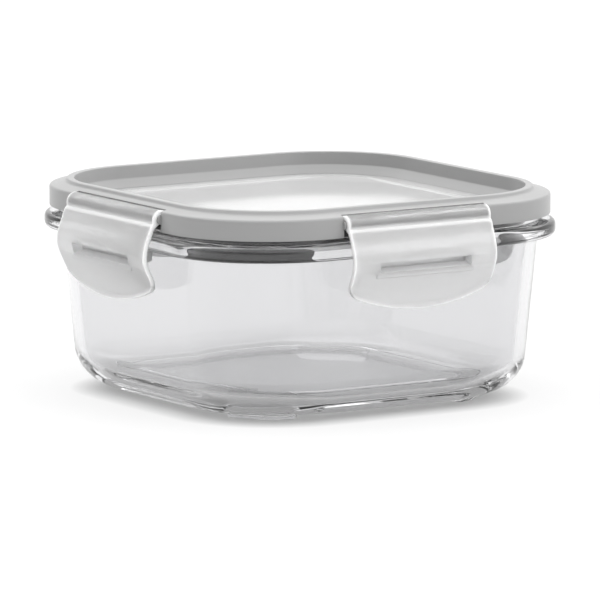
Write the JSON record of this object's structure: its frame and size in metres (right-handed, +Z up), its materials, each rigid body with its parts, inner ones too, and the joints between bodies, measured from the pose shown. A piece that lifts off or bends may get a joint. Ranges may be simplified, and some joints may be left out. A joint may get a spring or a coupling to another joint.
{
  "type": "lidded glass food container",
  "caption": "Square glass container with round corners, a grey lid with a clear window and hinged side latches that hook under its flange.",
  "frame": {"origin": "centre of the footprint, on the plane that the feet stand on", "axes": "+Z up, +X and +Y square to the flat sides; the part looks the same after each quarter turn about +Z"},
  "size_m": [0.1696, 0.1696, 0.0778],
  "materials": {
    "glass": "clear pressed borosilicate glass, polished",
    "grey_plastic": "light grey polypropylene, smooth with a soft gloss",
    "clear_plastic": "clear copolyester, glossy",
    "silicone": "translucent silicone, matt",
    "frosted_plastic": "natural translucent polypropylene, smooth"
  },
  "bodies": {
    "base": {"glass_base": "glass"},
    "lid": {"lid_frame": "grey_plastic", "lid_window": "clear_plastic", "rim_gasket": "silicone"},
    "latch_front": {"latch_front": "frosted_plastic"},
    "latch_right": {"latch_right": "frosted_plastic"},
    "latch_back": {"latch_back": "frosted_plastic"},
    "latch_left": {"latch_left": "frosted_plastic"}
  },
  "joints": [
    {"name": "lid_lift", "type": "slide", "parent": "base", "child": "lid", "axis": [0, 0, 1], "range_m": [0, 0.15]},
    {"name": "latch_front_hinge", "type": "hinge", "parent": "lid", "child": "latch_front", "pos_m": [0, -0.0771, 0.0722], "axis": [-1, 0, 0], "range_deg": [0, 105]},
    {"name": "latch_right_hinge", "type": "hinge", "parent": "lid", "child": "latch_right", "pos_m": [0.0771, 0, 0.0722], "axis": [0, -1, 0], "range_deg": [0, 105]},
    {"name": "latch_back_hinge", "type": "hinge", "parent": "lid", "child": "latch_back", "pos_m": [0, 0.0771, 0.0722], "axis": [1, 0, 0], "range_deg": [0, 105]},
    {"name": "latch_left_hinge", "type": "hinge", "parent": "lid", "child": "latch_left", "pos_m": [-0.0771, 0, 0.0722], "axis": [0, 1, 0], "range_deg": [0, 105]}
  ]
}
